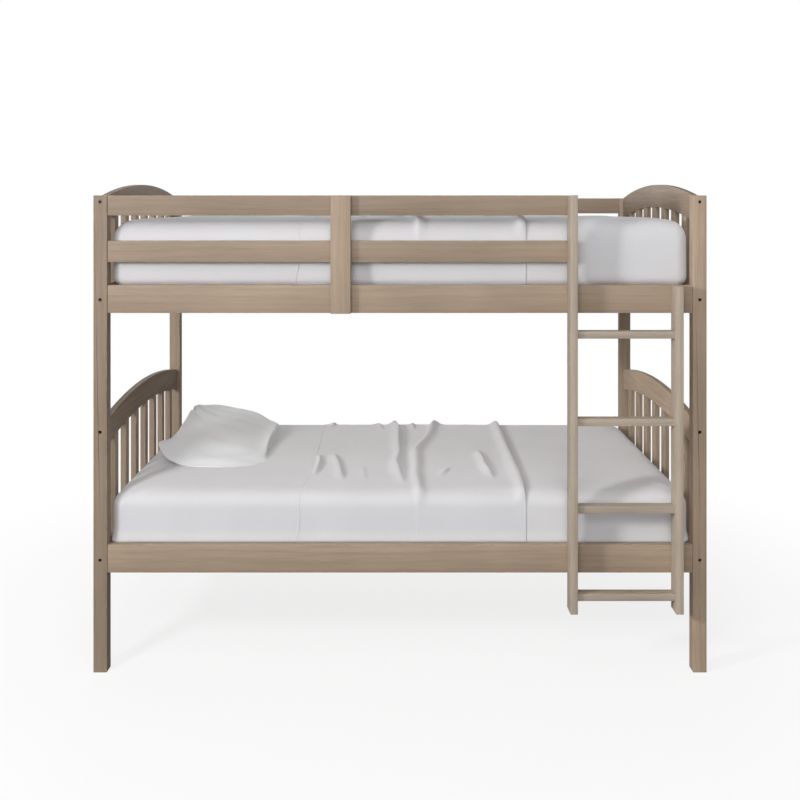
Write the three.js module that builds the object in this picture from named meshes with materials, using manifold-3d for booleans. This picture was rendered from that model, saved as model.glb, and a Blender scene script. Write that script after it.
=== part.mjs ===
// Twin-over-twin bunk bed with a fixed ladder. Millimetres, +Z up.
// The origin is on the floor, at the middle of the bed's whole footprint, which the ladder
// widens at the front and the guard divider widens at the back.
// The ladder side is the front and faces -Y. Left and right are as seen from the front.

import * as THREE from 'three';
import { ConvexGeometry } from 'three/addons/geometries/ConvexGeometry.js';
import { mergeVertices } from 'three/addons/utils/BufferGeometryUtils.js';
import Module from 'manifold-3d';

const wasm = await Module();
wasm.setup();

// Whole bed
const BED_LENGTH = 2019;
const FRAME_WIDTH = 1054;
const LADDER_PROUD = 57;
const GAP = 0.3;
const EASED_EDGE = 2.5;
const EASED_SEGMENTS = 2;
const ROUND_SIDES = 14;
const SHANK_SIDES = 8;
const HEX_SIDES = 6;

// Working allowances: how far cuts run past a face, joined solids overlap and points weld
const OVERSHOOT = 1;
const OVERLAP = 1;
const WELD_DISTANCE = 1e-4;

// Posts
const POST_LENGTH = 45;
const POST_WIDTH = 43;
const POST_HEIGHT = 1570;

// Rails along the bed, and the boards that stand on their outer faces
const RAIL_THICKNESS = 25;
const RAIL_HEIGHT = 92;
const RAIL_RECESS = 5;
const LOWER_RAIL_BOTTOM = 326;
const UPPER_RAIL_BOTTOM = 1182;
const TOP_GUARD_HEIGHT = 66.5;
const MIDDLE_GUARD_BOTTOM = 1349.5;
const MIDDLE_GUARD_HEIGHT = 71;
const DIVIDER_X = -194.5;
const DIVIDER_WIDTH = 66;
const DIVIDER_THICKNESS = 23.7;

// Ladder
const LADDER_LEFT_X = 562.7;
const LADDER_RIGHT_X = 904.8;
const LADDER_RAIL_WIDTH = 24.4;
const LADDER_BOTTOM = 215;
const RUNG_COUNT = 4;
const RUNG_FIRST_TOP = 276;
const RUNG_PITCH = 284;
const RUNG_HEIGHT = 24;
const RUNG_DEPTH = 38;
const RUNG_SETBACK = 15;

// End panels
const PANEL_THICKNESS = 21;
const ARCH_BAND = 86;
const ARCH_RISE = 47;
const ARCH_SEGMENTS = 20;
const UPPER_ARCH_TOP = 1570;
const LOWER_ARCH_TOP = 820;
const SPINDLE_COUNT = 7;
const SPINDLE_WIDTH = 37;
const SPINDLE_THICKNESS = 19;
const TENON_WIDTH = 25;
const TENON_THICKNESS = 9;
const TENON_LENGTH = 12;
const MORTISE_MOUTH = 10;

// Slats and their cleats
const MATTRESS_BASE = { lower: 408, upper: 1264 };
const SLAT_COUNT = 13;
const SLAT_WIDTH = 70;
const SLAT_THICKNESS = 16;
const SLAT_END_CLEARANCE = 3;
const STRAP_WIDTH = 25;
const STRAP_THICKNESS = 1.5;
const STRAP_OFFSET = 310;
const CLEAT_DEPTH = 25;
const CLEAT_HEIGHT = 28;
const CLEAT_END_SETBACK = 12;

// Fasteners
const BOLT_HEAD_RADIUS = 5;
const BOLT_HEAD_HEIGHT = 6;
const BOLT_SHANK_RADIUS = 3;
const BOLT_CLEARANCE = 0.4;
const BOLT_HEAD_DEPTH = 12;
const COUNTERBORE_RADIUS = 5.5;
const PANEL_BOLT_LENGTH = 80;
const PANEL_BOLT_HEIGHTS = {
  lower_stretcher: 369,
  lower_arch: 790,
  upper_stretcher: 1226,
  upper_arch: 1548,
};
const PANEL_BORE_CLEARANCE = 3;
const LADDER_BOLT_LENGTH = 50;
const LADDER_BOLT_SINK = 0.7;
const LADDER_BORE_CLEARANCE = 3;
const HEX_SOCKET_RADIUS = 2.6;
const HEX_SOCKET_DEPTH = 3.5;
const RAIL_BOLT_OFFSET = 25;
const RAIL_BOLT_BORE_DEPTH = 60;
const SCREW_HOLE_RADIUS = 3.5;
const SCREW_HOLE_DEPTH = 5;
const SCREW_HOLE_SPACING = 24;

// Bedding
const MATTRESS_LENGTH = 1951;
const MATTRESS_WIDTH = 988;
const MATTRESS_THICKNESS = { lower: 182, upper: 229 };
const MATTRESS_CORNER_RADIUS = 45;
const MATTRESS_TOP_RADIUS = { lower: 58, upper: 75 };
const MATTRESS_BOTTOM_RADIUS = { lower: 30, upper: 50 };
const MATTRESS_CURVE_STEPS = 4;
const PILLOW_X = -675;
const PILLOW_FROM_FRONT = 615;
const PILLOW_SIZE = [414, 644, 127];
const PILLOW_SQUARENESS = 0.75;
const PILLOW_MERIDIANS = 28;
const PILLOW_PARALLELS = 14;

// Places that follow from the sizes above
const DIVIDER_PROUD = DIVIDER_THICKNESS + GAP - RAIL_RECESS;
const FRONT_FACE = LADDER_PROUD - (LADDER_PROUD + FRAME_WIDTH + DIVIDER_PROUD) / 2;
const BACK_FACE = FRONT_FACE + FRAME_WIDTH;
const BED_MIDDLE = (FRONT_FACE + BACK_FACE) / 2;
const POST_X = (BED_LENGTH - POST_LENGTH) / 2;
const CLEAR_LENGTH = BED_LENGTH - 2 * POST_LENGTH;
const CLEAR_WIDTH = FRAME_WIDTH - 2 * POST_WIDTH;
const RAIL_OUTER = FRAME_WIDTH / 2 - RAIL_RECESS;
const RAIL_INNER = RAIL_OUTER - RAIL_THICKNESS;
const LADDER_DEPTH = LADDER_PROUD + RAIL_RECESS - GAP;
const LADDER_MIDDLE = FRONT_FACE + RAIL_RECESS - GAP - LADDER_DEPTH / 2;
const SPINDLE_SPACE = (CLEAR_WIDTH - SPINDLE_COUNT * SPINDLE_WIDTH) / (SPINDLE_COUNT + 1);
const SPINDLE_PITCH = SPINDLE_WIDTH + SPINDLE_SPACE;
const BOLT_BORE_RADIUS = BOLT_SHANK_RADIUS + BOLT_CLEARANCE;

const wood = { color: 0xa59380, roughness: 0.62, metalness: 0 };
const slatWood = { color: 0xc9b08c, roughness: 0.7, metalness: 0 };
const steel = { color: 0x3a332d, roughness: 0.4, metalness: 0.9 };
const linen = { color: 0xd8d8dc, roughness: 0.9, metalness: 0 };
const pillowCotton = { color: 0xdcdcde, roughness: 0.9, metalness: 0 };

const bed = new THREE.Group();

// A closed solid for cutting and joining, from any closed three.js geometry.
function solidOf(geometry) {
  const bare = geometry.clone();
  bare.deleteAttribute('normal');
  bare.deleteAttribute('uv');
  const merged = mergeVertices(bare, WELD_DISTANCE);
  const vertProperties = new Float32Array(merged.attributes.position.array);
  const triVerts = new Uint32Array(merged.index.array);
  return new wasm.Manifold(new wasm.Mesh({ numProp: 3, vertProperties, triVerts }));
}

function geometryOf(solid) {
  const mesh = solid.getMesh();
  const geometry = new THREE.BufferGeometry();
  geometry.setAttribute('position', new THREE.BufferAttribute(mesh.vertProperties, 3));
  geometry.setIndex(new THREE.BufferAttribute(mesh.triVerts, 1));
  return geometry;
}

function block(size, centre) {
  return solidOf(new THREE.BoxGeometry(...size).translate(...centre));
}

// How a drawn outline's own X and Y, and its depth, lie in the bed's axes, for each length axis.
const LAYOUTS = {
  x: [new THREE.Vector3(0, 1, 0), new THREE.Vector3(0, 0, 1), new THREE.Vector3(1, 0, 0)],
  y: [new THREE.Vector3(0, 0, 1), new THREE.Vector3(1, 0, 0), new THREE.Vector3(0, 1, 0)],
  z: [new THREE.Vector3(1, 0, 0), new THREE.Vector3(0, 1, 0), new THREE.Vector3(0, 0, 1)],
};

function roundedRectangle(width, height, radius) {
  const x = width / 2 - radius;
  const y = height / 2 - radius;
  const quarter = Math.PI / 2;
  const outline = new THREE.Shape();
  outline.absarc(x, y, radius, 0, quarter, false);
  outline.absarc(-x, y, radius, quarter, 2 * quarter, false);
  outline.absarc(-x, -y, radius, 2 * quarter, 3 * quarter, false);
  outline.absarc(x, -y, radius, 3 * quarter, 4 * quarter, false);
  outline.closePath();
  return outline;
}

// A straight board with its four long edges eased.
function board(size, centre, lengthAxis) {
  const extent = { x: size[0], y: size[1], z: size[2] };
  const [wide, high] = { x: ['y', 'z'], y: ['z', 'x'], z: ['x', 'y'] }[lengthAxis];
  const depth = extent[lengthAxis];
  const outline = roundedRectangle(extent[wide], extent[high], EASED_EDGE);
  const options = { depth, bevelEnabled: false, curveSegments: EASED_SEGMENTS / 2 };
  const geometry = new THREE.ExtrudeGeometry(outline, options);
  geometry.translate(0, 0, -depth / 2);
  geometry.applyMatrix4(new THREE.Matrix4().makeBasis(...LAYOUTS[lengthAxis]));
  return solidOf(geometry.translate(...centre));
}

// A round bar from a start point, along the unit vector given.
function bar(radius, length, start, direction, sides = SHANK_SIDES) {
  const geometry = new THREE.CylinderGeometry(radius, radius, length, sides);
  const turn = new THREE.Quaternion().setFromUnitVectors(
    new THREE.Vector3(0, 1, 0),
    new THREE.Vector3(...direction),
  );
  geometry.translate(0, length / 2, 0).applyQuaternion(turn).translate(...start);
  return solidOf(geometry);
}

function cutAll(solid, tools) {
  return tools.reduce((rest, tool) => rest.subtract(tool), solid);
}

function place(name, geometry, finish) {
  const mesh = new THREE.Mesh(geometry, new THREE.MeshStandardMaterial(finish));
  mesh.name = name;
  bed.add(mesh);
}

function placeSolid(name, solid, finish) {
  place(name, geometryOf(solid), finish);
}

// Side +1 is the back or the right, side -1 the front or the left.
function sideName(side) {
  return side < 0 ? 'front' : 'back';
}

function endName(end) {
  return end < 0 ? 'left' : 'right';
}

function railBottom(bunk) {
  return bunk === 'lower' ? LOWER_RAIL_BOTTOM : UPPER_RAIL_BOTTOM;
}

function postFace(side) {
  return side < 0 ? FRONT_FACE : BACK_FACE;
}

// A counterbore for a bolt's head, and a bore for its shank through a thickness.
function boltCuts(face, direction, thickness, headDepth = BOLT_HEAD_DEPTH) {
  const shankLength = thickness + 2 * OVERSHOOT;
  return [
    bar(COUNTERBORE_RADIUS, headDepth + OVERSHOOT, face, direction, ROUND_SIDES),
    bar(BOLT_BORE_RADIUS, shankLength, face, direction),
  ];
}

// The four posts, with counterbored holes for the end panels' bolts on the front and back
// faces and for the side rails' bolts on the end faces.
function makePosts() {
  for (const side of [-1, 1]) {
    for (const end of [-1, 1]) {
      const x = end * POST_X;
      const y = postFace(side) - side * POST_WIDTH / 2;
      const cuts = [];
      for (const z of Object.values(PANEL_BOLT_HEIGHTS)) {
        const face = [x, postFace(side) + side * OVERSHOOT, z];
        cuts.push(...boltCuts(face, [0, -side, 0], POST_WIDTH));
      }
      for (const z of sideRailBoltHeights()) {
        const face = [end * (BED_LENGTH / 2 + OVERSHOOT), railMiddle(side), z];
        cuts.push(...boltCuts(face, [-end, 0, 0], POST_LENGTH));
      }
      const body = board([POST_LENGTH, POST_WIDTH, POST_HEIGHT], [x, y, POST_HEIGHT / 2], 'z');
      placeSolid(`post_${sideName(side)}_${endName(end)}`, cutAll(body, cuts), wood);
    }
  }
}

function sideRailBoltHeights() {
  const middles = [LOWER_RAIL_BOTTOM, UPPER_RAIL_BOTTOM].map((bottom) => bottom + RAIL_HEIGHT / 2);
  return middles.flatMap((middle) => [middle - RAIL_BOLT_OFFSET, middle + RAIL_BOLT_OFFSET]);
}

// Bores in a panel rail's two ends for the bolts that come through the posts.
function panelBoltBores(x, z) {
  const depth = PANEL_BOLT_LENGTH + BOLT_HEAD_DEPTH + PANEL_BORE_CLEARANCE;
  return [-1, 1].map((side) => bar(BOLT_BORE_RADIUS, depth, [x, postFace(side), z], [0, -side, 0]));
}

// The outline of an arched rail in the Y-Z plane: two equal arcs, a band apart.
function archOutline(top) {
  const half = CLEAR_WIDTH / 2 - GAP;
  const radius = (half * half + ARCH_RISE * ARCH_RISE) / (2 * ARCH_RISE);
  const sweep = Math.asin(half / radius);
  const centre = top + ARCH_RISE - radius;
  const outline = new THREE.Shape();
  outline.absarc(0, centre, radius, Math.PI / 2 - sweep, Math.PI / 2 + sweep, false);
  outline.absarc(0, centre - ARCH_BAND, radius, Math.PI / 2 + sweep, Math.PI / 2 - sweep, true);
  return outline;
}

// A plate with the given Y-Z outline and eased edges, about the middle of the bed's width.
function panelPlate(outline, thickness, x) {
  const geometry = new THREE.ExtrudeGeometry(outline, {
    depth: thickness - 2 * EASED_EDGE,
    bevelThickness: EASED_EDGE,
    bevelSize: EASED_EDGE,
    bevelOffset: -EASED_EDGE,
    bevelSegments: EASED_SEGMENTS,
    curveSegments: ARCH_SEGMENTS / 2,
  });
  geometry.translate(0, 0, EASED_EDGE - thickness / 2);
  geometry.applyMatrix4(new THREE.Matrix4().makeBasis(...LAYOUTS.x));
  return solidOf(geometry.translate(x, BED_MIDDLE, 0));
}

function spindleMiddles() {
  const first = -((SPINDLE_COUNT - 1) / 2) * SPINDLE_PITCH;
  const steps = Array.from({ length: SPINDLE_COUNT }, (_, index) => index);
  return steps.map((step) => BED_MIDDLE + first + step * SPINDLE_PITCH);
}

// Height of the arch's lower edge above its ends, at a distance from the bed's middle.
function archLift(offset) {
  const half = CLEAR_WIDTH / 2 - GAP;
  const radius = (half * half + ARCH_RISE * ARCH_RISE) / (2 * ARCH_RISE);
  return Math.sqrt(radius * radius - offset * offset) - (radius - ARCH_RISE);
}

// An end panel: an arched rail above, and a grille of spindles on a stretcher below it.
// Each spindle's tenon sits in a mortise of the arched rail.
function makeEndPanel(bunk, end) {
  const x = end * POST_X;
  const top = bunk === 'lower' ? LOWER_ARCH_TOP : UPPER_ARCH_TOP;
  const bottom = railBottom(bunk);
  const arch = panelPlate(archOutline(top), PANEL_THICKNESS, x);
  const mortises = [];
  const spindles = [];
  for (const y of spindleMiddles()) {
    const farEdge = Math.abs(y - BED_MIDDLE) + SPINDLE_WIDTH / 2;
    const archEdge = top - ARCH_BAND + archLift(farEdge);
    const shoulder = archEdge - GAP;
    const foot = bottom + RAIL_HEIGHT - OVERLAP;
    const height = shoulder - foot;
    const tenonTop = archEdge + TENON_LENGTH;
    const spindleSize = [SPINDLE_THICKNESS, SPINDLE_WIDTH, height];
    spindles.push(board(spindleSize, [x, y, foot + height / 2], 'z'));
    spindles.push(block(
      [TENON_THICKNESS, TENON_WIDTH, tenonTop - foot],
      [x, y, (tenonTop + foot) / 2],
    ));
    const depth = TENON_LENGTH + GAP + MORTISE_MOUTH;
    mortises.push(block(
      [TENON_THICKNESS + 2 * GAP, TENON_WIDTH + 2 * GAP, depth],
      [x, y, tenonTop + GAP - depth / 2],
    ));
  }
  const stretcherSize = [PANEL_THICKNESS, CLEAR_WIDTH - 2 * GAP, RAIL_HEIGHT];
  const stretcher = board(stretcherSize, [x, BED_MIDDLE, bottom + RAIL_HEIGHT / 2], 'y');
  const grille = spindles.reduce((joined, spindle) => joined.add(spindle), stretcher);
  const archBores = panelBoltBores(x, PANEL_BOLT_HEIGHTS[`${bunk}_arch`]);
  const stretcherBores = panelBoltBores(x, PANEL_BOLT_HEIGHTS[`${bunk}_stretcher`]);
  const name = `${bunk}_${endName(end)}`;
  placeSolid(`${name}_arched_rail`, cutAll(arch, [...mortises, ...archBores]), wood);
  placeSolid(`${name}_spindle_grille`, cutAll(grille, stretcherBores), wood);
}

// A socket head bolt whose head's outer face is at start; it points along direction.
function boltSolid(start, direction, length) {
  const along = new THREE.Vector3(...direction);
  const origin = new THREE.Vector3(...start);
  const neck = origin.clone().addScaledVector(along, BOLT_HEAD_HEIGHT - OVERLAP).toArray();
  const mouth = origin.clone().addScaledVector(along, -OVERSHOOT).toArray();
  const head = bar(BOLT_HEAD_RADIUS, BOLT_HEAD_HEIGHT, start, direction, ROUND_SIDES);
  const shank = bar(BOLT_SHANK_RADIUS, length + OVERLAP, neck, direction);
  const socketDepth = HEX_SOCKET_DEPTH + OVERSHOOT;
  const socket = bar(HEX_SOCKET_RADIUS, socketDepth, mouth, direction, HEX_SIDES);
  return head.add(shank).subtract(socket);
}

function makePanelBolts() {
  for (const side of [-1, 1]) {
    for (const end of [-1, 1]) {
      for (const [joint, z] of Object.entries(PANEL_BOLT_HEIGHTS)) {
        const depth = BOLT_HEAD_DEPTH - BOLT_HEAD_HEIGHT - GAP;
        const start = [end * POST_X, postFace(side) - side * depth, z];
        const name = `panel_bolt_${sideName(side)}_${endName(end)}_${joint}`;
        placeSolid(name, boltSolid(start, [0, -side, 0], PANEL_BOLT_LENGTH), steel);
      }
    }
  }
}

function railMiddle(side) {
  return BED_MIDDLE + side * (RAIL_OUTER - RAIL_THICKNESS / 2);
}

// A board along the bed between two X places, standing at the side rails' line.
function lengthwiseBoard(side, left, right, bottom, height) {
  const size = [right - left, RAIL_THICKNESS, height];
  return board(size, [(left + right) / 2, railMiddle(side), bottom + height / 2], 'x');
}

function ladderBoltPlaces() {
  const places = [];
  for (const bunk of ['lower', 'upper']) {
    for (const [name, x] of [['left', LADDER_LEFT_X], ['right', LADDER_RIGHT_X]]) {
      places.push({ name: `${bunk}_${name}`, bunk, x, z: railBottom(bunk) + RAIL_HEIGHT / 2 });
    }
  }
  return places;
}

function makeSideRails() {
  const half = CLEAR_LENGTH / 2 - GAP;
  for (const bunk of ['lower', 'upper']) {
    for (const side of [-1, 1]) {
      const rail = lengthwiseBoard(side, -half, half, railBottom(bunk), RAIL_HEIGHT);
      const cuts = [];
      const middle = railBottom(bunk) + RAIL_HEIGHT / 2;
      for (const end of [-1, 1]) {
        for (const offset of [-RAIL_BOLT_OFFSET, RAIL_BOLT_OFFSET]) {
          const start = [end * (half + OVERSHOOT), railMiddle(side), middle + offset];
          cuts.push(bar(BOLT_BORE_RADIUS, RAIL_BOLT_BORE_DEPTH, start, [-end, 0, 0]));
        }
      }
      if (side < 0) {
        for (const spot of ladderBoltPlaces().filter((place) => place.bunk === bunk)) {
          const face = [spot.x, BED_MIDDLE - RAIL_INNER + OVERSHOOT, spot.z];
          const headDepth = BOLT_HEAD_HEIGHT + LADDER_BOLT_SINK + GAP;
          cuts.push(...boltCuts(face, [0, -1, 0], RAIL_THICKNESS, headDepth));
        }
      }
      placeSolid(`${bunk}_${sideName(side)}_side_rail`, cutAll(rail, cuts), wood);
    }
  }
}

// The front guard rails end behind the ladder's left rail, which leaves the way in open.
function makeGuardRails() {
  const half = CLEAR_LENGTH / 2 - GAP;
  const ladderEdge = LADDER_LEFT_X + LADDER_RAIL_WIDTH / 2;
  const rails = [
    ['top', POST_HEIGHT - TOP_GUARD_HEIGHT, TOP_GUARD_HEIGHT],
    ['middle', MIDDLE_GUARD_BOTTOM, MIDDLE_GUARD_HEIGHT],
  ];
  for (const [level, bottom, height] of rails) {
    const front = lengthwiseBoard(-1, -half, ladderEdge, bottom, height);
    const back = lengthwiseBoard(1, -half, half, bottom, height);
    placeSolid(`front_${level}_guard_rail`, front, wood);
    placeSolid(`back_${level}_guard_rail`, back, wood);
  }
}

// An upright board on the outer faces of the guard rails and the upper side rail.
function makeDividers() {
  const height = POST_HEIGHT - UPPER_RAIL_BOTTOM;
  for (const side of [-1, 1]) {
    const y = BED_MIDDLE + side * (RAIL_OUTER + GAP + DIVIDER_THICKNESS / 2);
    const size = [DIVIDER_WIDTH, DIVIDER_THICKNESS, height];
    const divider = board(size, [DIVIDER_X, y, UPPER_RAIL_BOTTOM + height / 2], 'z');
    placeSolid(`${sideName(side)}_guard_divider`, divider, wood);
  }
}

// The ladder: two upright rails on the side rails' outer faces, and rungs between them.
function makeLadder() {
  const rails = [
    { name: 'left', x: LADDER_LEFT_X, top: POST_HEIGHT, outward: -1 },
    { name: 'right', x: LADDER_RIGHT_X, top: UPPER_RAIL_BOTTOM + RAIL_HEIGHT, outward: 1 },
  ];
  const rungY = FRONT_FACE - LADDER_PROUD + RUNG_SETBACK + RUNG_DEPTH / 2;
  for (const rail of rails) {
    const height = rail.top - LADDER_BOTTOM;
    const size = [LADDER_RAIL_WIDTH, LADDER_DEPTH, height];
    const body = board(size, [rail.x, LADDER_MIDDLE, LADDER_BOTTOM + height / 2], 'z');
    const cuts = [];
    for (const z of rungMiddles()) {
      for (const offset of [-SCREW_HOLE_SPACING / 2, SCREW_HOLE_SPACING / 2]) {
        const x = rail.x + rail.outward * (LADDER_RAIL_WIDTH / 2 + OVERSHOOT);
        const depth = SCREW_HOLE_DEPTH + OVERSHOOT;
        cuts.push(bar(SCREW_HOLE_RADIUS, depth, [x, rungY + offset, z], [-rail.outward, 0, 0]));
      }
    }
    for (const spot of ladderBoltPlaces().filter((place) => place.x === rail.x)) {
      const start = [rail.x, FRONT_FACE + RAIL_RECESS + OVERSHOOT, spot.z];
      const reach = BOLT_HEAD_HEIGHT + LADDER_BOLT_LENGTH - RAIL_THICKNESS;
      const depth = reach + OVERSHOOT + LADDER_BORE_CLEARANCE;
      cuts.push(bar(BOLT_BORE_RADIUS, depth, start, [0, -1, 0]));
    }
    placeSolid(`ladder_${rail.name}_rail`, cutAll(body, cuts), wood);
  }
  const left = LADDER_LEFT_X + LADDER_RAIL_WIDTH / 2 + GAP;
  const right = LADDER_RIGHT_X - LADDER_RAIL_WIDTH / 2 - GAP;
  rungMiddles().forEach((z, index) => {
    const size = [right - left, RUNG_DEPTH, RUNG_HEIGHT];
    const rung = board(size, [(left + right) / 2, rungY, z], 'x');
    placeSolid(`ladder_rung_${index + 1}`, rung, wood);
  });
}

function rungMiddles() {
  const first = RUNG_FIRST_TOP - RUNG_HEIGHT / 2;
  return Array.from({ length: RUNG_COUNT }, (_, index) => first + index * RUNG_PITCH);
}

// Each ladder bolt's head is sunk in the inner face of a side rail.
function makeLadderBolts() {
  for (const spot of ladderBoltPlaces()) {
    const start = [spot.x, BED_MIDDLE - RAIL_INNER - LADDER_BOLT_SINK, spot.z];
    placeSolid(`ladder_bolt_${spot.name}`, boltSolid(start, [0, -1, 0], LADDER_BOLT_LENGTH), steel);
  }
}

// Cleats along the insides of the side rails carry the slats.
function makeCleats() {
  const length = CLEAR_LENGTH - 2 * CLEAT_END_SETBACK;
  for (const bunk of ['lower', 'upper']) {
    for (const side of [-1, 1]) {
      const top = MATTRESS_BASE[bunk] - SLAT_THICKNESS - GAP;
      const y = BED_MIDDLE + side * (RAIL_INNER - GAP - CLEAT_DEPTH / 2);
      const cleat = block([length, CLEAT_DEPTH, CLEAT_HEIGHT], [0, y, top - CLEAT_HEIGHT / 2]);
      placeSolid(`${bunk}_${sideName(side)}_slat_cleat`, cleat, slatWood);
    }
  }
}

// A roll of slats, joined under their faces by two webbing straps.
function makeSlatRolls() {
  const slatLength = 2 * (RAIL_INNER - SLAT_END_CLEARANCE);
  const span = CLEAR_LENGTH - 2 * CLEAT_END_SETBACK - SLAT_WIDTH;
  for (const bunk of ['lower', 'upper']) {
    const middle = MATTRESS_BASE[bunk] - SLAT_THICKNESS / 2;
    const strapZ = MATTRESS_BASE[bunk] - SLAT_THICKNESS - STRAP_THICKNESS / 2 + GAP;
    const pieces = [];
    for (let index = 0; index < SLAT_COUNT; index += 1) {
      const x = -span / 2 + (index * span) / (SLAT_COUNT - 1);
      pieces.push(block([SLAT_WIDTH, slatLength, SLAT_THICKNESS], [x, BED_MIDDLE, middle]));
    }
    for (const side of [-1, 1]) {
      const size = [span, STRAP_WIDTH, STRAP_THICKNESS];
      pieces.push(block(size, [0, BED_MIDDLE + side * STRAP_OFFSET, strapZ]));
    }
    const roll = pieces.reduce((joined, piece) => joined.add(piece));
    placeSolid(`${bunk}_slat_roll`, roll, slatWood);
  }
}

// One level of a mattress, drawn in from its widest outline.
function mattressLevel(inset, z) {
  const radius = MATTRESS_CORNER_RADIUS;
  const x = MATTRESS_LENGTH / 2 - radius;
  const y = MATTRESS_WIDTH / 2 - radius;
  const reach = Math.max(radius - inset, 0);
  const pull = Math.max(inset - radius, 0);
  const points = [];
  for (let corner = 0; corner < 4; corner += 1) {
    for (let step = 0; step <= MATTRESS_CURVE_STEPS; step += 1) {
      const angle = (Math.PI / 2) * (corner + step / MATTRESS_CURVE_STEPS);
      const signX = corner === 0 || corner === 3 ? 1 : -1;
      const signY = corner < 2 ? 1 : -1;
      points.push(new THREE.Vector3(
        signX * (x - pull) + reach * Math.cos(angle),
        BED_MIDDLE + signY * (y - pull) + reach * Math.sin(angle),
        z,
      ));
    }
  }
  return points;
}

// A mattress with rounded upright corners, a soft top edge and a tighter bottom edge.
function makeMattresses() {
  for (const bunk of ['lower', 'upper']) {
    const bottom = MATTRESS_BASE[bunk] + GAP;
    const top = bottom + MATTRESS_THICKNESS[bunk];
    const lowRadius = MATTRESS_BOTTOM_RADIUS[bunk];
    const highRadius = MATTRESS_TOP_RADIUS[bunk];
    const points = [];
    for (let step = 0; step <= MATTRESS_CURVE_STEPS; step += 1) {
      const angle = (Math.PI / 2) * (step / MATTRESS_CURVE_STEPS);
      const inset = 1 - Math.sin(angle);
      const rise = 1 - Math.cos(angle);
      points.push(...mattressLevel(lowRadius * inset, bottom + lowRadius * rise));
      points.push(...mattressLevel(highRadius * inset, top - highRadius * rise));
    }
    placeSolid(`${bunk}_mattress`, solidOf(new ConvexGeometry(points)), linen);
  }
}

// A plump closed cushion: square in plan with full corners, thinnest along its edges.
function makePillow() {
  const geometry = new THREE.SphereGeometry(1, PILLOW_MERIDIANS, PILLOW_PARALLELS);
  geometry.rotateX(Math.PI / 2);
  const points = geometry.attributes.position;
  const point = new THREE.Vector3();
  for (let index = 0; index < points.count; index += 1) {
    point.fromBufferAttribute(points, index);
    const round = Math.hypot(point.x, point.y);
    const square = Math.max(Math.abs(point.x), Math.abs(point.y));
    const grow = square > 0 ? (round / square) ** PILLOW_SQUARENESS : 1;
    const x = point.x * grow * PILLOW_SIZE[0] / 2;
    const y = point.y * grow * PILLOW_SIZE[1] / 2;
    points.setXYZ(index, x, y, point.z * PILLOW_SIZE[2] / 2);
  }
  const base = MATTRESS_BASE.lower + GAP + MATTRESS_THICKNESS.lower + GAP;
  geometry.translate(PILLOW_X, FRONT_FACE + PILLOW_FROM_FRONT, base + PILLOW_SIZE[2] / 2);
  placeSolid('pillow', solidOf(geometry), pillowCotton);
}

makePosts();
for (const bunk of ['lower', 'upper']) {
  for (const end of [-1, 1]) {
    makeEndPanel(bunk, end);
  }
}
makePanelBolts();
makeSideRails();
makeGuardRails();
makeDividers();
makeLadder();
makeLadderBolts();
makeCleats();
makeSlatRolls();
makeMattresses();
makePillow();

export default bed;
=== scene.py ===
"""The looks of a bunk bed with a fixed ladder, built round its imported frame. Metres, +Z up.

The ladder side is the front and faces -Y. Left and right are as seen from the front.
"""
import math

import bmesh
import bpy
import numpy as np
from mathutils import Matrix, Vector, noise


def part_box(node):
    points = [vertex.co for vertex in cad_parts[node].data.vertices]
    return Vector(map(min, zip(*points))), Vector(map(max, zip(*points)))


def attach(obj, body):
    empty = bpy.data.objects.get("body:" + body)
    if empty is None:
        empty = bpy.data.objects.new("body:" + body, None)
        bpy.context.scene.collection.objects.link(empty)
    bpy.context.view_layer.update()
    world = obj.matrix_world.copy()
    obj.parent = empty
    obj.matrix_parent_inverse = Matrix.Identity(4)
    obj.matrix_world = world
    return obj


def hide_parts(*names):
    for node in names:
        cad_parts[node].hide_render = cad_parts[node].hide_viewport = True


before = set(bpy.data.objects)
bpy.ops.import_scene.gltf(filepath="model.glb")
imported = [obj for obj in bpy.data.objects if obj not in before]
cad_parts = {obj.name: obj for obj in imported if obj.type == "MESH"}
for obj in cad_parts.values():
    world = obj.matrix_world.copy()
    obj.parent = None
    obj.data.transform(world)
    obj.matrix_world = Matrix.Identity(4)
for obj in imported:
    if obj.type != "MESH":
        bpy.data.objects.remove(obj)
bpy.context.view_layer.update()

ENDS = {"left": -1, "right": 1}
SIDES = {"front": -1, "back": 1}
BUNKS = ("lower", "upper")
X, Y, Z = 0, 1, 2

# Places that come from the frame
POST_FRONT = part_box("post_front_left")[0].y
POST_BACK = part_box("post_back_left")[1].y
BED_MIDDLE = (POST_FRONT + POST_BACK) / 2
BED_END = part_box("post_front_right")[1].x
POST_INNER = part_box("post_front_right")[0].x

# Camera
CAMERA_DISTANCE = 3.053
CAMERA_HEIGHT = 1.531
CAMERA_SENSOR = 36.0
CAMERA_LENS = 41.76
CAMERA_SHIFT = -0.241

# Light, as a share of what a white surface that faces the lamp sends back
AMBIENT = 0.14
KEY = 0.47
KEY_PLACE = (-1.80, -1.95, 1.65)
KEY_RADIUS = 0.22
# Soft boxes aimed at the bed's middle at one height, each with its place, width, height and light
LIT_HEIGHT = 0.85
FILLS = {
    "front_fill": ((-0.9, -7.5, 2.4), 3.0, 2.4, 0.155),
    "high_fill": ((-0.3, -4.6, 3.2), 3.0, 1.2, 0.22),
    "top_fill": ((0.0, -2.6, 4.2), 3.0, 2.0, 0.19),
    "right_fill": ((5.5, 0.4, 2.4), 2.0, 2.0, 0.10),
    "back_fill": ((-0.6, 5.0, 3.6), 3.5, 2.0, 0.34),
}

# Floor: how far it reaches, how far it lies below the feet, the distances between which it fades to
# white, the share of white it starts from, and how much light its white part gives
FLOOR_REACH = 20.0
FLOOR_DROP = 0.0004
FLOOR_FADE = (0.9, 2.4)
FLOOR_WHITE = 0.80
FLOOR_GLOW = 0.22

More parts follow.
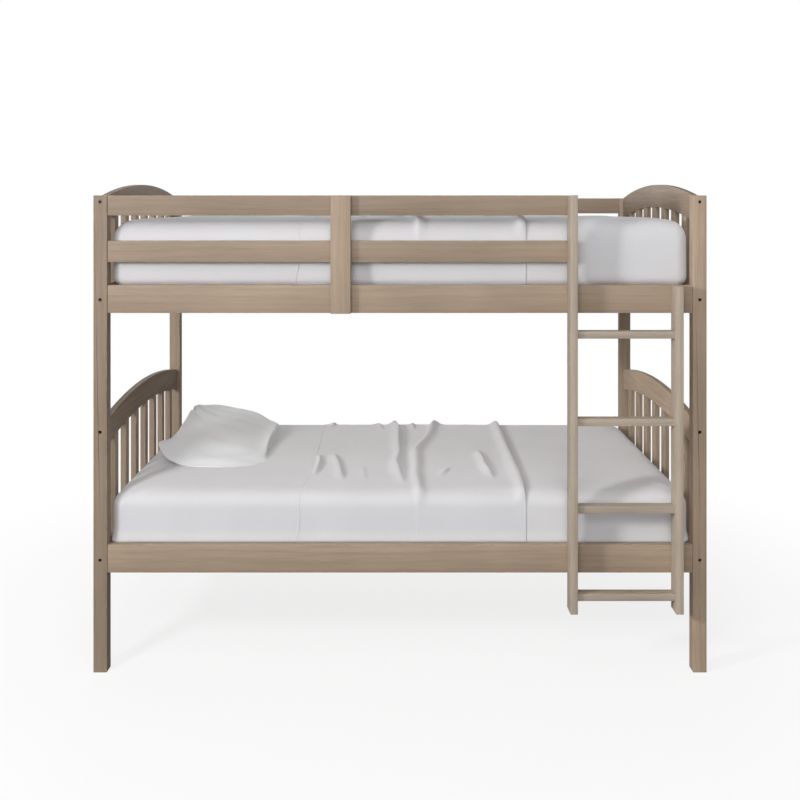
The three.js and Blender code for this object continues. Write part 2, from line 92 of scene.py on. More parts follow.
# Colours, linear
WOOD_LIGHT = (0.405, 0.308, 0.226)
WOOD_DARK = (0.350, 0.262, 0.188)
# Lighter edge colour: partly wear, partly a painted highlight where the edges catch the light
WOOD_EDGE_WEAR_AND_HIGHLIGHT = (0.500, 0.405, 0.315)
LADDER_LIGHT = (0.490, 0.415, 0.335)
LADDER_DARK = (0.425, 0.350, 0.275)
PINE_LIGHT = (0.640, 0.480, 0.300)
PINE_DARK = (0.500, 0.350, 0.200)
SHEET_WHITE = (0.720, 0.715, 0.735)
PILLOW_WHITE = (0.835, 0.850, 0.870)
BOLT_STEEL = (0.050, 0.040, 0.034)
ZINC = (0.420, 0.410, 0.400)
WEBBING = (0.560, 0.540, 0.500)
TICKING = (0.620, 0.600, 0.560)

# Painted light and shade: the factor that lightens or darkens each board's colour to stand in for how the
# lamps light or shade it, where it isn't 1
PAINTED_LIGHT_TONES = {
    "post_front_left": 0.80,
    "post_front_right": 1.20,
    "ladder_right_rail": 1.06,
    "front_top_guard_rail": 0.79,
    "front_middle_guard_rail": 0.88,
    "lower_front_side_rail": 1.05,
    "lower_left_arched_rail": 0.72,
    "upper_left_arched_rail": 0.78,
    "lower_right_arched_rail": 1.35,
    "upper_right_arched_rail": 0.85,
    "back_top_guard_rail": 0.80,
    "back_middle_guard_rail": 0.80,
    "upper_front_side_rail": 0.99,
    "ladder_rung_1": 0.90,
    "ladder_rung_2": 0.91,
    "ladder_rung_4": 0.95,
}

# End panels
SPINDLE_COUNT = 7
SPINDLE_WIDTH = 0.037
SPINDLE_THICKNESS = 0.0208
ARCH_BAND = 0.086
FIT_GAP = 0.0003
EASED_EDGE = 0.0025
TIMBER_EASE = 0.0009

# Slats
SLAT_COUNT = 13
SLAT_WIDTH = 0.070
SLAT_THICKNESS = 0.016
SLAT_EASE = 0.0012
STRAP_WIDTH = 0.025
STRAP_THICKNESS = 0.0012
STRAP_OFFSET = 0.310
STAPLE_WIRE = 0.0012
STAPLE_WIDTH = 0.011

# Fasteners
RUNG_SCREW_SPACING = 0.024
RUNG_SCREW_SINK = 0.0045
RAIL_BOLT_OFFSET = 0.025
BOLT_HEAD_HEIGHT = 0.006
BOLT_SINK = 0.0057
BARREL_NUT_INSET = 0.045
BARREL_NUT_SINK = 0.0004
SIDE_RAIL_HALF = 0.0125
DIVIDER_SCREW_OFFSET = 0.015
DIVIDER_SCREW_SINK = 0.0003
# Heads: radius, height, then the recess's reach, depth and number of sides, where 4 is a cross
RUNG_SCREW_HEAD = (0.0031, 0.0022, 0.0019, 0.0014, 4)
RAIL_BOLT_HEAD = (0.005, BOLT_HEAD_HEIGHT, 0.0026, 0.0035, 6)
BARREL_NUT_HEAD = (0.005, 0.0008, 0.0030, 0.0005, 4)
DIVIDER_SCREW_HEAD = (0.0042, 0.0013, 0.0022, 0.0009, 4)


# ---- node helpers

def set_inputs(tree, node, inputs):
    """Links each input that is given a socket, and sets each that is given a value."""
    for name, value in inputs.items():
        if isinstance(value, bpy.types.NodeSocket):
            tree.links.new(value, node.inputs[name])
        else:
            node.inputs[name].default_value = value


def add_node(tree, kind, inputs=None, **settings):
    made = tree.nodes.new(kind)
    for name, value in settings.items():
        setattr(made, name, value)
    set_inputs(tree, made, inputs or {})
    return made


def math_node(tree, operation, *values):
    return add_node(tree, "ShaderNodeMath", dict(enumerate(values)), operation=operation).outputs[0]


def weighted_sum(tree, first, first_share, second, second_share):
    return math_node(tree, "ADD", math_node(tree, "MULTIPLY", first, first_share),
                     math_node(tree, "MULTIPLY", second, second_share))


def blend_colour(tree, factor, first, second, mode="MIX"):
    """Mixes two colours, each of them a socket or three numbers."""
    inputs = {0: factor}
    for socket, value in ((6, first), (7, second)):
        inputs[socket] = value if isinstance(value, bpy.types.NodeSocket) else (*value, 1.0)
    return add_node(tree, "ShaderNodeMix", inputs, data_type="RGBA", blend_type=mode).outputs[2]


def spread(tree, value, low, high, to_low=0.0, to_high=1.0):
    """Maps low..high smoothly to to_low..to_high, held at the ends."""
    return add_node(tree, "ShaderNodeMapRange", {
        "Value": value, "From Min": low, "From Max": high, "To Min": to_low, "To Max": to_high,
    }, interpolation_type="SMOOTHSTEP").outputs["Result"]


def new_material(name):
    material = bpy.data.materials.new(name)
    material.use_nodes = True
    tree = material.node_tree
    return material, tree, tree.nodes["Principled BSDF"]


def object_place(tree):
    return add_node(tree, "ShaderNodeTexCoord").outputs["Object"]


def noise_at(tree, place, scale, detail=2.0, roughness=0.5):
    made = add_node(tree, "ShaderNodeTexNoise", {
        "Vector": place, "Scale": scale, "Detail": detail, "Roughness": roughness,
    })
    return made.outputs["Fac"]


def grey(tree, value):
    made = add_node(tree, "ShaderNodeCombineColor", {"Red": value, "Green": value, "Blue": value})
    return made.outputs[0]


def add_bump(tree, shader, strength, distance, height):
    bump = add_node(tree, "ShaderNodeBump", {
        "Strength": strength, "Distance": distance, "Height": height,
    })
    tree.links.new(bump.outputs[0], shader.inputs["Normal"])


def shaded(tree, colour, value):
    """A colour multiplied by a grey value."""
    return blend_colour(tree, 1.0, colour, grey(tree, value), "MULTIPLY")


# ---- materials

def edge_distance(tree, place, low, high, arch):
    """Distance from a board's surface to its nearest edge: the middle one of the three
    distances to its box. An arched rail is first straightened."""
    parts = add_node(tree, "ShaderNodeSeparateXYZ", {"Vector": place}).outputs
    coordinates = [parts[0], parts[1], parts[2]]
    if arch:
        half, rise = arch
        offset = math_node(tree, "DIVIDE", math_node(tree, "SUBTRACT", parts[1], BED_MIDDLE), half)
        lift = math_node(tree, "MULTIPLY", math_node(tree, "POWER", offset, 2.0), rise)
        coordinates[Z] = math_node(tree, "ADD", parts[2], lift)
    gaps = []
    for axis, coordinate in enumerate(coordinates):
        over = math_node(tree, "SUBTRACT", coordinate, low[axis])
        under = math_node(tree, "SUBTRACT", high[axis], coordinate)
        gaps.append(math_node(tree, "MINIMUM", over, under))
    smaller = math_node(tree, "MINIMUM", gaps[0], gaps[1])
    larger = math_node(tree, "MAXIMUM", gaps[0], gaps[1])
    return math_node(tree, "MAXIMUM", smaller, math_node(tree, "MINIMUM", larger, gaps[2]))


def wood(name, grain, seed, low=None, high=None, arch=None, colours=(WOOD_LIGHT, WOOD_DARK)):
    """Stained timber whose grain runs along one axis, lighter along the board's edges from wear and a
    painted highlight.
    """
    material, tree, shader = new_material(name)
    place = object_place(tree)
    shifted = add_node(tree, "ShaderNodeVectorMath", {0: place, 1: (seed * 0.37, seed * 0.61, seed * 0.23)})
    long_scale, ring_scale = [1.0] * 3, [1.0] * 3
    long_scale[grain] = 0.035
    ring_scale[grain] = 0.16
    fibre_place = add_node(tree, "ShaderNodeMapping", {"Vector": shifted.outputs[0], "Scale": long_scale})
    ring_place = add_node(tree, "ShaderNodeMapping", {"Vector": shifted.outputs[0], "Scale": ring_scale})
    fibres = noise_at(tree, fibre_place.outputs[0], 330.0, 5.0, 0.62)
    streaks = noise_at(tree, fibre_place.outputs[0], 70.0, 3.0, 0.55)
    rings = add_node(tree, "ShaderNodeTexWave", {
        "Vector": ring_place.outputs[0], "Scale": 26.0, "Distortion": 9.0,
        "Detail": 3.0, "Detail Scale": 0.35, "Detail Roughness": 0.55,
    }, wave_type="RINGS", rings_direction="XYZ"[grain], wave_profile="SAW").outputs["Fac"]
    clouds = noise_at(tree, shifted.outputs[0], 3.1, 2.0, 0.5)
    grain_mix = weighted_sum(tree, fibres, 0.55, streaks, 0.45)
    colour = blend_colour(tree, spread(tree, grain_mix, 0.34, 0.62), colours[1], colours[0])
    colour = shaded(tree, colour, spread(tree, rings, 0.55, 1.0, 1.0, 0.93))
    colour = shaded(tree, colour, spread(tree, clouds, 0.3, 0.7, 0.93, 1.06))
    # Lighter edges: partly wear, partly a painted highlight along the eased edges
    if low is not None:
        distance = edge_distance(tree, place, low, high, arch)
        patchy = noise_at(tree, shifted.outputs[0], 38.0, 3.0, 0.6)
        reach = spread(tree, patchy, 0.35, 0.7, 0.0012, 0.0052)
        edge_wear_and_highlight = math_node(tree, "SUBTRACT", 1.0, math_node(tree, "DIVIDE", distance, reach))
        edge_wear_and_highlight = spread(tree, edge_wear_and_highlight, 0.0, 1.0, 0.0, 0.55)
        colour = blend_colour(tree, edge_wear_and_highlight, colour, WOOD_EDGE_WEAR_AND_HIGHLIGHT)
    add_bump(tree, shader, 0.35, 0.0006, weighted_sum(tree, fibres, 0.7, rings, 0.3))
    set_inputs(tree, shader, {
        "Base Color": colour,
        "Roughness": spread(tree, grain_mix, 0.3, 0.7, 0.66, 0.52),
        "Specular IOR Level": 0.35,
    })
    return material


def cloth(name, colour, thread=0.0011, bump_strength=0.25):
    """Plain-weave cotton: crossing threads, slubs, faint tone changes and soft fuzz."""
    material, tree, shader = new_material(name)
    place = object_place(tree)
    parts = add_node(tree, "ShaderNodeSeparateXYZ", {"Vector": place}).outputs
    down = math_node(tree, "ADD", parts[1], parts[2])
    warp = math_node(tree, "SINE", math_node(tree, "MULTIPLY", parts[0], 2 * math.pi / thread))
    weft = math_node(tree, "SINE", math_node(tree, "MULTIPLY", down, 2 * math.pi / thread))
    weave = math_node(tree, "MULTIPLY", warp, weft)
    slubs = noise_at(tree, place, 900.0, 2.0, 0.6)
    tone = noise_at(tree, place, 5.0, 3.0, 0.5)
    speckle = noise_at(tree, place, 240.0, 3.0, 0.6)
    shade = math_node(tree, "MULTIPLY", spread(tree, tone, 0.3, 0.7, 0.965, 1.0),
                      spread(tree, speckle, 0.3, 0.7, 0.975, 1.0))
    add_bump(tree, shader, bump_strength, 0.0003, weighted_sum(tree, weave, 0.5, slubs, 1.0))
    set_inputs(tree, shader, {
        "Base Color": shaded(tree, colour, shade),
        "Roughness": spread(tree, slubs, 0.3, 0.7, 0.82, 0.94),
        "Sheen Weight": 0.25, "Sheen Roughness": 0.5, "Specular IOR Level": 0.25,
    })
    return material


def metal(name, colour, roughness):
    """Plated steel with fine mottling and small dull spots."""
    material, tree, shader = new_material(name)
    place = object_place(tree)
    spots = noise_at(tree, place, 420.0, 4.0, 0.6)
    add_bump(tree, shader, 0.1, 0.0001, spots)
    set_inputs(tree, shader, {
        "Base Color": shaded(tree, colour, spread(tree, spots, 0.35, 0.65, 0.75, 1.1)),
        "Roughness": spread(tree, spots, 0.3, 0.7, roughness - 0.08, roughness + 0.12),
        "Metallic": 0.9,
    })
    return material


# ---- mesh helpers

SHARP_ANGLE = math.radians(32)
HEAD_POINTS = 32


def add_object(name, data):
    obj = bpy.data.objects.new(name, data)
    bpy.context.scene.collection.objects.link(obj)
    return obj


def link_mesh(name, mesh, material, body):
    obj = add_object(name, mesh)
    obj.data.materials.append(material)
    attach(obj, body)
    return obj


def smooth_mesh(name, points, faces):
    mesh = bpy.data.meshes.new(name)
    mesh.from_pydata(points, [], faces)
    mesh.polygons.foreach_set("use_smooth", [True] * len(faces))
    return mesh


def grid_faces(rows, columns):
    """Quads between points that are listed row by row."""
    faces = []
    for row in range(rows - 1):
        for column in range(columns - 1):
            first = row * columns + column
            faces.append((first, first + 1, first + columns + 1, first + columns))
    return faces


def thicken(obj, thickness, offset):
    thick = obj.modifiers.new("thickness", "SOLIDIFY")
    thick.thickness = thickness
    thick.offset = offset


def smooth_surface(obj):
    smooth = obj.modifiers.new("smooth_surface", "SUBSURF")
    smooth.levels = smooth.render_levels = 1


def mesh_from(name, builder):
    mesh = bpy.data.meshes.new(name)
    shape = bmesh.new()
    builder(shape)
    bmesh.ops.recalc_face_normals(shape, faces=shape.faces)
    shape.to_mesh(mesh)
    shape.free()
    return mesh


def smooth_by_angle(mesh):
    """Smooth faces, with a hard edge wherever two faces meet at a sharp angle."""
    mesh.polygons.foreach_set("use_smooth", [True] * len(mesh.polygons))
    shape = bmesh.new()
    shape.from_mesh(mesh)
    for edge in shape.edges:
        edge.smooth = len(edge.link_faces) != 2 or edge.calc_face_angle(0.0) <= SHARP_ANGLE
    shape.to_mesh(mesh)
    shape.free()


def place_piece(name, builder, material):
    """A piece of the frame with smooth faces and hard edges."""
    mesh = mesh_from(name, builder)
    smooth_by_angle(mesh)
    return link_mesh(name, mesh, material, "frame")


def add_board(shape, low, high, ease=EASED_EDGE, segments=3):
    """A board with all its edges eased, added to a bmesh."""
    made = bmesh.ops.create_cube(shape, size=1.0)["verts"]
    low, high = Vector(low), Vector(high)
    for vertex in made:
        for axis in range(3):
            vertex.co[axis] = high[axis] if vertex.co[axis] > 0 else low[axis]
    edges = list({edge for vertex in made for edge in vertex.link_edges})
    bmesh.ops.bevel(shape, geom=edges, offset=ease, segments=segments, profile=0.5, affect="EDGES")


def add_disc_head(shape, centre, outward, radius, height, recess_radius, recess_depth, sides):
    """A round fastener head with a recess of the given number of sides in its outer face."""
    turn = Vector((0, 0, 1)).rotation_difference(Vector(outward)).to_matrix()
    rings = []
    ease = min(radius, height) * 0.12
    profile = [
        (radius, 0.0, 0), (radius, height - ease, 0), (radius - ease, height, 0),
        (recess_radius, height, sides), (recess_radius, height - recess_depth, sides),
    ]
    for ring_radius, level, count in profile:
        ring = []
        for step in range(HEAD_POINTS):
            angle = 2 * math.pi * step / HEAD_POINTS
            reach = polygon_reach(angle, ring_radius, count) if count else ring_radius
            spot = Vector((reach * math.cos(angle), reach * math.sin(angle), level))
            ring.append(shape.verts.new(Vector(centre) + turn @ spot))
        rings.append(ring)
    for lower, upper in zip(rings, rings[1:]):
        for step in range(HEAD_POINTS):
            follow = (step + 1) % HEAD_POINTS
            shape.faces.new((lower[step], lower[follow], upper[follow], upper[step]))
    shape.faces.new(rings[0][::-1])
    shape.faces.new(rings[-1])


def polygon_reach(angle, radius, sides):
    """Distance from the middle to the outline at an angle: a hexagon, or a rounded cross for 4."""
    if sides == 4:
        return radius * (0.42 + 0.58 * abs(math.cos(2 * angle)) ** 3)
    sector = 2 * math.pi / sides
    return radius * math.cos(sector / 2) / math.cos((angle % sector) - sector / 2)


# ---- the timber of the frame

def clean_shading():
    """Nodes that join a CAD solid's faces and shade its small facets smooth."""
    group = bpy.data.node_groups.new("clean_shading", "GeometryNodeTree")
    group.interface.new_socket("Geometry", in_out="INPUT", socket_type="NodeSocketGeometry")
    group.interface.new_socket("Geometry", in_out="OUTPUT", socket_type="NodeSocketGeometry")
    enter = group.nodes.new("NodeGroupInput")
    leave = group.nodes.new("NodeGroupOutput")
    merged = add_node(group, "GeometryNodeMergeByDistance", {
        "Geometry": enter.outputs[0], "Distance": 2e-5,
    })
    plain = add_node(group, "GeometryNodeRemoveAttribute", {
        "Geometry": merged.outputs[0], "Name": "custom_normal",
    })
    smooth = add_node(group, "GeometryNodeSetShadeSmooth", {
        "Geometry": plain.outputs[0], "Shade Smooth": True,
    })
    angle = add_node(group, "GeometryNodeInputMeshEdgeAngle").outputs["Unsigned Angle"]
    sharp = add_node(group, "FunctionNodeCompare", {"A": angle, "B": SHARP_ANGLE})
    creased = add_node(group, "GeometryNodeSetShadeSmooth", {
        "Geometry": smooth.outputs[0], "Selection": sharp.outputs[0], "Shade Smooth": False,
    }, domain="EDGE")
    group.links.new(creased.outputs[0], leave.inputs[0])
    return group


def dress(node, material, shading, bevel):
    """Gives a CAD node its material, clean shading and small eased edges."""
    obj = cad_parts[node]
    obj.data.materials.clear()
    obj.data.materials.append(material)
    cleaner = obj.modifiers.new("clean_shading", "NODES")
    cleaner.node_group = shading
    if bevel:
        ease = obj.modifiers.new("eased", "BEVEL")
        ease.width = bevel
        ease.segments = 2
        ease.limit_method = "ANGLE"
        ease.angle_limit = math.radians(55)
        ease.use_clamp_overlap = False
        ease.harden_normals = False


def grain_of(node):
    low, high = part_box(node)
    size = high - low
    return max(range(3), key=lambda axis: size[axis])


def stain_with_painted_light(node):
    """The light and dark colour of one board, scaled by its painted light and shade."""
    # Painted light and shade: each board's colour is scaled to stand in for how lit or shaded it is
    tone = PAINTED_LIGHT_TONES.get(node, 1.0)
    pair = (LADDER_LIGHT, LADDER_DARK) if node.startswith("ladder") else (WOOD_LIGHT, WOOD_DARK)
    return [[tone * part for part in colour] for colour in pair]


def dress_timber(shading):
    """Posts, rails, dividers, ladder and arched rails keep their CAD solids."""
    starts = ("post_", "ladder_left", "ladder_right", "ladder_rung")
    endings = ("_side_rail", "_guard_rail", "_guard_divider")
    nodes = [node for node in sorted(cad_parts) if node.startswith(starts)]
    nodes += [node for node in sorted(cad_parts) if node.endswith(endings)]
    for index, node in enumerate(nodes):
        low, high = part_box(node)
        material = wood(f"stained_{node}", grain_of(node), 1 + index, low, high, colours=stain_with_painted_light(node))
        dress(node, material, shading, TIMBER_EASE)
    for bunk in BUNKS:
        for end in ENDS:
            node = f"{bunk}_{end}_arched_rail"
            low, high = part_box(node)
            rise = high.z - low.z - ARCH_BAND
            arch = ((high.y - low.y) / 2, rise)
            seed = 50 + len(node) + ENDS[end]
            low = Vector((low.x, low.y, high.z - ARCH_BAND))
            dress(node, wood(f"stained_{node}", Y, seed, low, high, arch, stain_with_painted_light(node)), shading, 0.0)


def arch_edge(node, offset):
    """Height of an arched rail's lower edge at a distance from the bed's middle."""
    low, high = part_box(node)
    half = (high.y - low.y) / 2
    rise = high.z - low.z - ARCH_BAND
    radius = (half * half + rise * rise) / (2 * rise)
    return low.z + rise + math.sqrt(radius * radius - offset * offset) - radius


def make_end_panels():
    """Each grille is shown as a stretcher and seven spindles that meet the arched rail."""
    for bunk in BUNKS:
        for end in ENDS:
            grille = f"{bunk}_{end}_spindle_grille"
            low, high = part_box(grille)
            rail_low, rail_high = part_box(f"{bunk}_front_side_rail")
            middle = (low.x + high.x) / 2
            low = Vector((low.x, low.y, rail_low.z))
            high = Vector((high.x, high.y, rail_high.z))
            name = f"{bunk}_{end}_stretcher"
            seed = 70 + len(name) + 5 * ENDS[end]
            material = wood(f"stained_{name}", Y, seed, low, high)
            stretcher = place_piece(name, lambda shape: add_board(shape, low, high), material)
            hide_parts(grille)
            clear = high.y - low.y
            pitch = SPINDLE_WIDTH + (clear - SPINDLE_COUNT * SPINDLE_WIDTH) / (SPINDLE_COUNT + 1)
            for index in range(SPINDLE_COUNT):
                y = BED_MIDDLE + (index - (SPINDLE_COUNT - 1) / 2) * pitch
                spindle = f"{bunk}_{end}_spindle_{index + 1}"
                make_spindle(spindle, middle, y, high.z, f"{bunk}_{end}_arched_rail", seed + 3 * index)


def make_spindle(name, x, y, foot, arched_rail, seed):
    """A flat spindle with eased edges, cut at the top to the arch's underside."""
    half_thick, half_wide = SPINDLE_THICKNESS / 2, SPINDLE_WIDTH / 2
    section = []
    for corner, (sign_x, sign_y) in enumerate(((1, 1), (-1, 1), (-1, -1), (1, -1))):
        for step in range(4):
            angle = math.pi / 2 * (corner + step / 3)
            section.append((sign_x * (half_thick - EASED_EDGE) + EASED_EDGE * math.cos(angle),
                            sign_y * (half_wide - EASED_EDGE) + EASED_EDGE * math.sin(angle)))
    section = refine_long_sides(section, 6, half_wide - EASED_EDGE)

    def build(shape):
        bottom = [shape.verts.new((x + px, y + py, foot + FIT_GAP)) for px, py in section]
        top = []
        for px, py in section:
            edge = arch_edge(arched_rail, abs(y + py - BED_MIDDLE))
            top.append(shape.verts.new((x + px, y + py, edge - FIT_GAP)))
        for index in range(len(section)):
            follow = (index + 1) % len(section)
            shape.faces.new((bottom[index], bottom[follow], top[follow], top[index]))
        shape.faces.new(bottom[::-1])
        shape.faces.new(top)

    # The ends are hidden in joints and get neither the wear nor the painted highlight, so the box for the
    # lighter edges runs past them
    low = Vector((x - half_thick, y - half_wide, foot - 0.1))
    high = Vector((x + half_thick, y + half_wide, foot + 1.0))
    place_piece(name, build, wood(f"stained_{name}", Z, seed, low, high))


def refine_long_sides(section, columns, reach):
    """Adds points along the two sides of an outline that run in its second direction."""
    refined = []
    for index, (px, py) in enumerate(section):
        refined.append((px, py))
        next_x, next_y = section[(index + 1) % len(section)]
        if abs(next_y - py) > reach:
            for step in range(1, columns):
                share = step / columns
                refined.append((px + (next_x - px) * share, py + (next_y - py) * share))
    return refined


def make_slats():
    """Slats on the cleats, stapled to two webbing straps."""
    strap_cloth = cloth("strap_webbing", WEBBING, thread=0.0022, bump_strength=0.5)
    staple_steel = metal("staple_zinc", ZINC, 0.35)
    for number, bunk in enumerate(BUNKS):
        low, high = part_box(f"{bunk}_slat_roll")
        underside = high.z - SLAT_THICKNESS
        pitch = (high.x - low.x - SLAT_WIDTH) / (SLAT_COUNT - 1)
        for index in range(SLAT_COUNT):
            left = low.x + index * pitch
            name = f"{bunk}_slat_{index + 1}"
            corner = Vector((left, low.y, underside))
            opposite = Vector((left + SLAT_WIDTH, high.y, high.z))
            material = wood(f"pine_{name}", Y, 200 + 20 * number + index, colours=(PINE_LIGHT, PINE_DARK))
            board = lambda shape: add_board(shape, corner, opposite, SLAT_EASE, 2)
            slat = place_piece(name, board, material)
            if index == 0:
                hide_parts(f"{bunk}_slat_roll")
        for side_name, side in SIDES.items():
            middle = BED_MIDDLE + side * STRAP_OFFSET
            left, right = low.x + SLAT_WIDTH / 3, high.x - SLAT_WIDTH / 3
            strap_low = Vector((left, middle - STRAP_WIDTH / 2, underside - STRAP_THICKNESS))
            strap_high = Vector((right, middle + STRAP_WIDTH / 2, underside - 0.0001))
            name = f"{bunk}_{side_name}_slat_strap"
            mesh = mesh_from(name, lambda shape: add_board(shape, strap_low, strap_high, 0.0004, 1))
            link_mesh(name, mesh, strap_cloth, "frame")
            name = f"{bunk}_{side_name}_staples"
            mesh = mesh_from(name, lambda shape: add_staples(shape, low.x, pitch, middle, underside))
            link_mesh(name, mesh, staple_steel, "frame")


def add_staples(shape, first, pitch, middle, underside):
    """Two staples at each crossing of a slat and a strap."""
    for index in range(SLAT_COUNT):
        for share in (0.3, 0.7):
            x = first + index * pitch + SLAT_WIDTH * share
            low = (x - STAPLE_WIRE / 2, middle - STAPLE_WIDTH / 2, underside - STRAP_THICKNESS - 0.0007)
            high = (x + STAPLE_WIRE / 2, middle + STAPLE_WIDTH / 2, underside - STRAP_THICKNESS + 0.0003)
            add_board(shape, low, high, 0.0002, 1)


# ---- fasteners

def rung_levels():
    boxes = [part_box(f"ladder_rung_{index}") for index in (1, 2, 3, 4)]
    return [((low.y + high.y) / 2, (low.z + high.z) / 2) for low, high in boxes]


def make_fasteners(shading):
    bolt_steel = metal("bolt_dark_zinc", BOLT_STEEL, 0.42)
    zinc = metal("screw_zinc", ZINC, 0.38)
    for node in sorted(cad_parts):
        if node.startswith(("panel_bolt_", "ladder_bolt_")):
            dress(node, bolt_steel, shading, 0.0)
    for kind, add_kind in (("rung_screws", add_rung_screws), ("side_rail_bolts", add_rail_bolts)):
        for end in ENDS:
            place_piece(f"{kind}_{end}", lambda shape: add_kind(shape, end), bolt_steel)
    place_piece("barrel_nuts", add_barrel_nuts, zinc)
    place_piece("divider_screws", add_divider_screws, zinc)


def add_rung_screws(shape, end):
    """Two screws through a ladder rail into the end of each rung."""
    low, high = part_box(f"ladder_{end}_rail")
    sign = ENDS[end]
    face = low.x if sign < 0 else high.x
    for y, z in rung_levels():
        for offset in (-RUNG_SCREW_SPACING / 2, RUNG_SCREW_SPACING / 2):
            seat = (face - sign * RUNG_SCREW_SINK, y + offset, z)
            add_disc_head(shape, seat, (sign, 0, 0), *RUNG_SCREW_HEAD)


def side_rail_places():
    """(middle y, middle z, side) of each side rail."""
    places = []
    for bunk in BUNKS:
        for side_name, side in SIDES.items():
            low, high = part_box(f"{bunk}_{side_name}_side_rail")
            places.append(((low.y + high.y) / 2, (low.z + high.z) / 2, side))
    return places


def add_rail_bolts(shape, end):
    """Socket head bolts sunk in the posts' end faces, two in each side rail's end."""
    sign = ENDS[end]
    for y, z, _ in side_rail_places():
        for offset in (-RAIL_BOLT_OFFSET, RAIL_BOLT_OFFSET):
            seat = (sign * (BED_END - BOLT_SINK - BOLT_HEAD_HEIGHT), y, z + offset)
            add_disc_head(shape, seat, (sign, 0, 0), *RAIL_BOLT_HEAD)


def add_barrel_nuts(shape):
    """The ends of the barrel nuts that the bolts pull on, in the side rails' inner faces."""
    for y, z, side in side_rail_places():
        inner = y - side * SIDE_RAIL_HALF
        for sign in ENDS.values():
            for offset in (-RAIL_BOLT_OFFSET, RAIL_BOLT_OFFSET):
                seat = (sign * (POST_INNER - BARREL_NUT_INSET), inner + side * BARREL_NUT_SINK, z + offset)
                add_disc_head(shape, seat, (0, -side, 0), *BARREL_NUT_HEAD)


def add_divider_screws(shape):
    """Two screws through each rail into a guard divider, from the inner side."""
    low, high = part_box("front_guard_divider")
    middle = (low.x + high.x) / 2
    for name, side in SIDES.items():
        for rail in (f"{name}_top_guard_rail", f"{name}_middle_guard_rail", f"upper_{name}_side_rail"):
            rail_low, rail_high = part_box(rail)
            inner = rail_high.y if side < 0 else rail_low.y
            for offset in (-DIVIDER_SCREW_OFFSET, DIVIDER_SCREW_OFFSET):
                z = (rail_low.z + rail_high.z + offset) / 2
                seat = (middle + offset, inner + side * DIVIDER_SCREW_SINK, z)
                add_disc_head(shape, seat, (0, -side, 0), *DIVIDER_SCREW_HEAD)


def dress_cleats(shading):
    for index, node in enumerate(sorted(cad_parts)):
        if node.endswith("_slat_cleat"):
            material = wood(f"pine_{node}", X, 300 + index, colours=(PINE_LIGHT, PINE_DARK))
            dress(node, material, shading, SLAT_EASE)


# ---- soft goods: helpers

def run_cloth(obj, frames, mass, stretch, bend, pressure=0.0, volume=0.0, pins=None, slack=None):
    """Blows a cloth skin up, by a pressure or to a volume, and keeps the settled shape as its mesh."""
    cloth_modifier = obj.modifiers.new("cloth", "CLOTH")
    settings = cloth_modifier.settings
    settings.quality = 6
    settings.mass = mass
    settings.tension_stiffness = settings.compression_stiffness = stretch
    settings.shear_stiffness = stretch / 3
    settings.bending_stiffness = bend
    settings.tension_damping = settings.compression_damping = settings.shear_damping = 5.0
    settings.bending_damping = 0.5
    settings.air_damping = 2.0
    settings.effector_weights.gravity = 0.0
    settings.use_pressure = True
    settings.uniform_pressure_force = pressure
    if volume:
        settings.use_pressure_volume = True
        settings.target_volume = volume
        settings.pressure_factor = 20.0
    if pins:
        settings.vertex_group_mass = pins
        settings.pin_stiffness = 4.0
    if slack:
        settings.vertex_group_shrink = slack
        settings.shrink_min, settings.shrink_max = 0.0, -CORNER_SLACK
    cloth_modifier.collision_settings.use_collision = False
    cloth_modifier.collision_settings.use_self_collision = False
    cloth_modifier.point_cache.frame_start = 1
    cloth_modifier.point_cache.frame_end = frames
    scene = bpy.context.scene
    for step in range(1, frames + 1):
        scene.frame_set(step)
    settled = bpy.data.meshes.new_from_object(obj.evaluated_get(bpy.context.evaluated_depsgraph_get()))
    obj.modifiers.clear()
    obj.data = settled
    scene.frame_set(1)


def coordinates(mesh):
    flat = np.empty(len(mesh.vertices) * 3)
    mesh.vertices.foreach_get("co", flat)
    return flat.reshape(-1, 3)


def move_points(mesh, points):
    mesh.vertices.foreach_set("co", points.ravel())
    mesh.update()


def weigh(obj, name, weights):
    """Makes a vertex group from an array of weights."""
    group = obj.vertex_groups.new(name=name)
    levels = np.round(np.clip(weights, 0, 1), 2)
    for level in np.unique(levels):
        if level > 0:
            group.add(np.nonzero(levels == level)[0].tolist(), float(level), "REPLACE")
    return name


def ripple(points, scale, seed):
    """Smooth noise between about -1 and 1 at each point."""
    spots = points / scale + seed
    return np.array([noise.noise(Vector(spot)) for spot in spots])


# ---- mattresses

MATTRESS_CELL = 0.014
# The reach of the rounding at the corners, at the top edges and at the bottom edges
MATTRESS_SHAPES = {"lower": (0.045, 0.058, 0.030), "upper": (0.045, 0.075, 0.050)}
BOTTOM_SQUARENESS = {"lower": 7.0, "upper": 2.6}
FRONT_DIP = {"lower": 0.013, "upper": 0.008}
END_DIP = {"lower": 0.010, "upper": 0.008}
DIP_REACH = 0.17
CROWN = 0.0023
SWELL = 0.005
# How far the lower edge is pushed out, and the heights up to which it is full and pushed
FOOT_PUSH = {"lower": 0.005, "upper": 0.0}
FULL_HEIGHT = 0.040
FOOT_HEIGHT = 0.018
HEM_WIDTH = 0.085
UNDERSIDE_DEPTH = 0.004
BARE_LIFT = 0.003
GATHER_HEIGHT = 0.0012
# Where the sheet is slack: all round the corners, and less so along the edges
CORNER_SLACK = 0.055
SLACK_REACH = 0.30
EDGE_SLACK_REACH = 0.10
EDGE_SLACK = 0.35
# Small folds that fan out from the drawn corners
PULL_COUNT = 15
PULL_PLACE = 0.10
PULL_SPREAD = 0.11
PULL_HEIGHT = 0.0016


